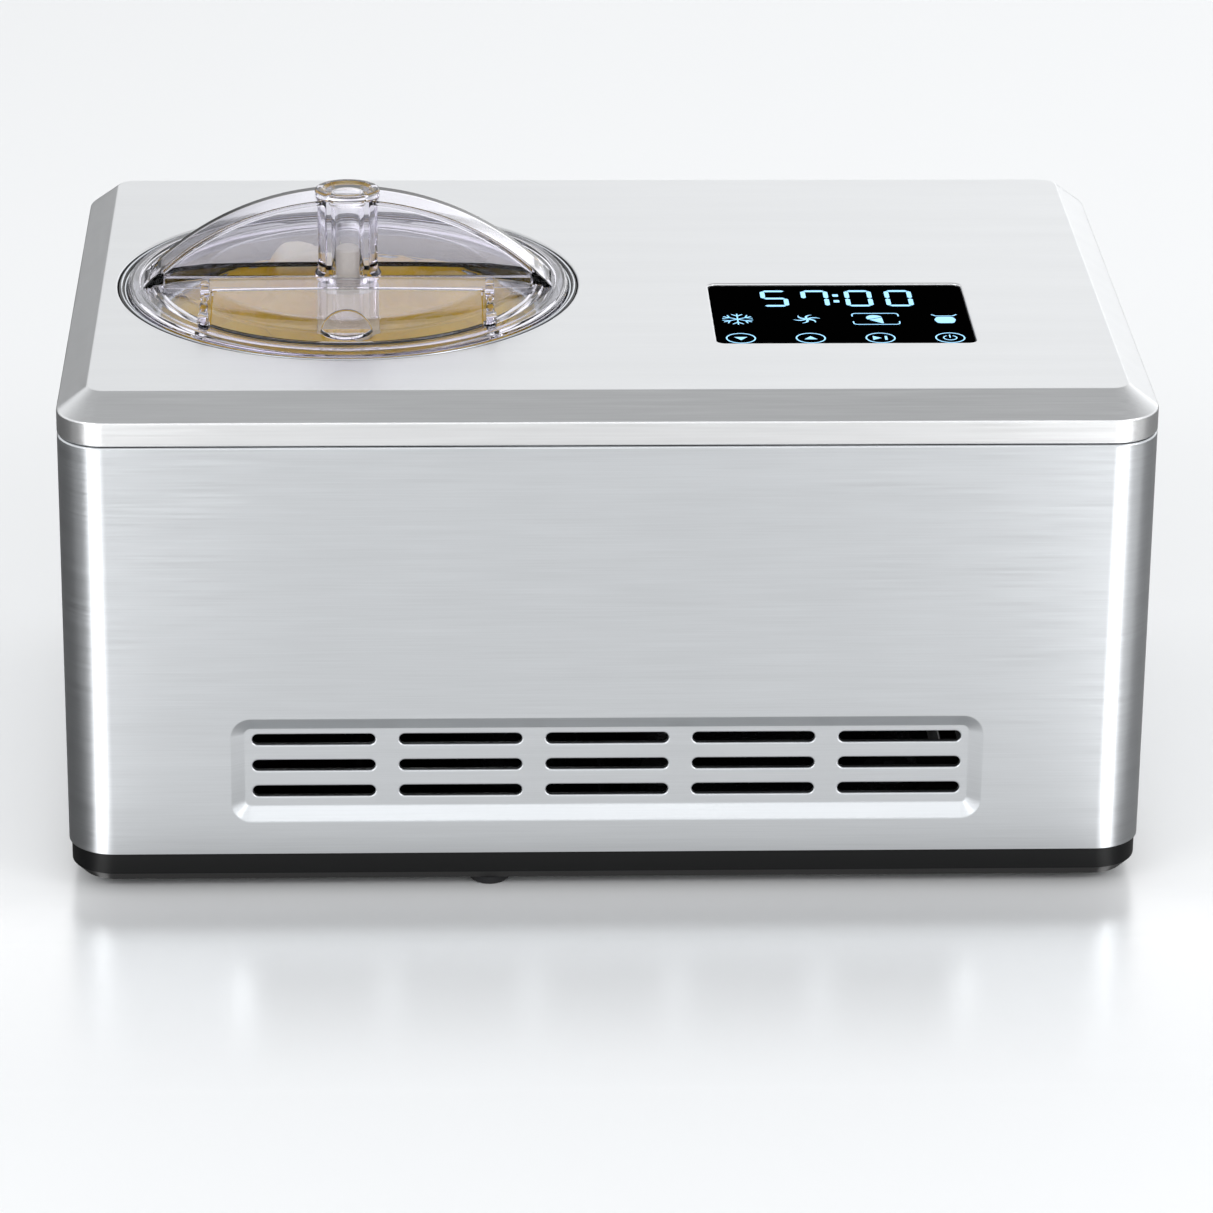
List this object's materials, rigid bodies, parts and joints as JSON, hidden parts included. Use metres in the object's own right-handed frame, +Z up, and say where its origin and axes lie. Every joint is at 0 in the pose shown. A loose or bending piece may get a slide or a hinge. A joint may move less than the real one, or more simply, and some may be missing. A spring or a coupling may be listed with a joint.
{
  "type": "ice cream maker",
  "caption": "Countertop compressor ice cream maker: brushed steel box with front vent slots, touch panel, lift-out bucket, mixing paddle and clear lid with refill flap.",
  "frame": {"origin": "on the table, under the middle of the footprint", "axes": "+X to the machine's right, +Y to its back, +Z up"},
  "size_m": [0.425, 0.285, 0.247],
  "materials": {
    "brushed_steel": "horizontal brushed grain, satin",
    "black_plastic": "fine satin texture",
    "black_glass": "polished",
    "clear_plastic": "clear, polished",
    "aluminium": "anodised, satin",
    "copper": "drawn copper tube",
    "bronze": "sintered bronze",
    "white_foam": "moulded bead foam",
    "black_rubber": "matt",
    "black_enamel": "gloss black enamel",
    "white_nylon": "moulded",
    "circuit_board": "solder mask",
    "zinc_steel": "zinc plated"
  },
  "bodies": {
    "housing": {"base_tray": "black_plastic", "foot_front_left": "black_rubber", "foot_front_right": "black_rubber", "foot_rear_left": "black_rubber", "foot_rear_right": "black_rubber", "foot_front_middle": "black_rubber", "base_screw_1": "zinc_steel", "base_screw_2": "zinc_steel", "base_screw_3": "zinc_steel", "base_screw_4": "zinc_steel", "housing_wrap": "brushed_steel", "top_cover": "brushed_steel", "rear_grille": "black_plastic", "grille_screw_1": "zinc_steel", "grille_screw_2": "zinc_steel", "mains_inlet": "black_plastic", "control_glass": "black_glass", "panel_frame": "black_plastic", "control_board": "circuit_board", "display_module": "white_nylon", "power_board": "circuit_board", "board_bracket": "white_nylon", "well_collar": "black_plastic", "evaporator_pot": "aluminium", "evaporator_coil": "copper", "pot_insulation": "white_foam", "compressor_shell": "black_enamel", "compressor_pump": "black_enamel", "grommet_front_left": "black_rubber", "grommet_front_right": "black_rubber", "grommet_rear_left": "black_rubber", "grommet_rear_right": "black_rubber", "relay_cover": "black_plastic", "condenser": "aluminium", "fan_shroud": "black_plastic", "fan_motor": "zinc_steel", "filter_dryer": "copper", "suction_line": "copper", "discharge_line": "copper", "liquid_line": "copper", "capillary_tube": "copper", "idler_pin": "zinc_steel", "mixer_motor": "zinc_steel", "gearbox_housing": "white_nylon", "gearbox_cover": "white_nylon", "shaft_bearing": "bronze", "shaft_seal": "black_rubber", "power_cable": "black_rubber", "motor_cable": "black_rubber", "signal_cable": "black_rubber"},
    "fan": {"fan_blades": "black_plastic"},
    "motor_rotor": {"motor_pinion": "white_nylon"},
    "idler": {"idler_gear": "white_nylon"},
    "drive": {"output_gear": "white_nylon", "drive_shaft": "zinc_steel"},
    "bucket": {"bucket": "aluminium"},
    "handle": {"bucket_handle": "zinc_steel"},
    "paddle": {"paddle": "white_nylon"},
    "lid": {"clear_lid": "clear_plastic"},
    "flap": {"refill_flap": "clear_plastic"}
  },
  "joints": [
    {"name": "bucket_lift", "type": "slide", "parent": "housing", "child": "bucket", "axis": [0, 0, 1], "range_m": [0, 0.14]},
    {"name": "paddle_spin", "type": "hinge", "parent": "bucket", "child": "paddle", "pos_m": [-0.1015, -0.003, 0.15], "axis": [0, 0, 1], "continuous": true},
    {"name": "lid_lift", "type": "slide", "parent": "bucket", "child": "lid", "axis": [0, 0, 1], "range_m": [0, 0.15]},
    {"name": "flap_open", "type": "hinge", "parent": "lid", "child": "flap", "pos_m": [-0.1015, -0.0285, 0.211], "axis": [-1, 0, 0], "range_deg": [0, 95]},
    {"name": "handle_swing", "type": "hinge", "parent": "bucket", "child": "handle", "pos_m": [-0.1015, -0.003, 0.19], "axis": [1, 0, 0], "range_deg": [0, 90]},
    {"name": "drive_spin", "type": "hinge", "parent": "housing", "child": "drive", "pos_m": [-0.1015, -0.003, 0.1], "axis": [0, 0, 1], "continuous": true},
    {"name": "idler_spin", "type": "hinge", "parent": "housing", "child": "idler", "pos_m": [-0.06779, -0.03128, 0.055], "axis": [0, 0, 1], "continuous": true},
    {"name": "motor_spin", "type": "hinge", "parent": "housing", "child": "motor_rotor", "pos_m": [-0.03209, -0.04428, 0.05], "axis": [0, 0, 1], "continuous": true},
    {"name": "fan_spin", "type": "hinge", "parent": "housing", "child": "fan", "pos_m": [0.104, 0.09, 0.088], "axis": [0, 1, 0], "continuous": true}
  ],
  "couplings": [
    {"joint": "drive_spin", "follows": "paddle_spin", "ratio": 1},
    {"joint": "idler_spin", "follows": "paddle_spin", "ratio": -2.6667},
    {"joint": "motor_spin", "follows": "paddle_spin", "ratio": 5.7778},
    {"joint": "handle_swing", "follows": "lid_lift", "rad_per_m": 10.471}
  ]
}
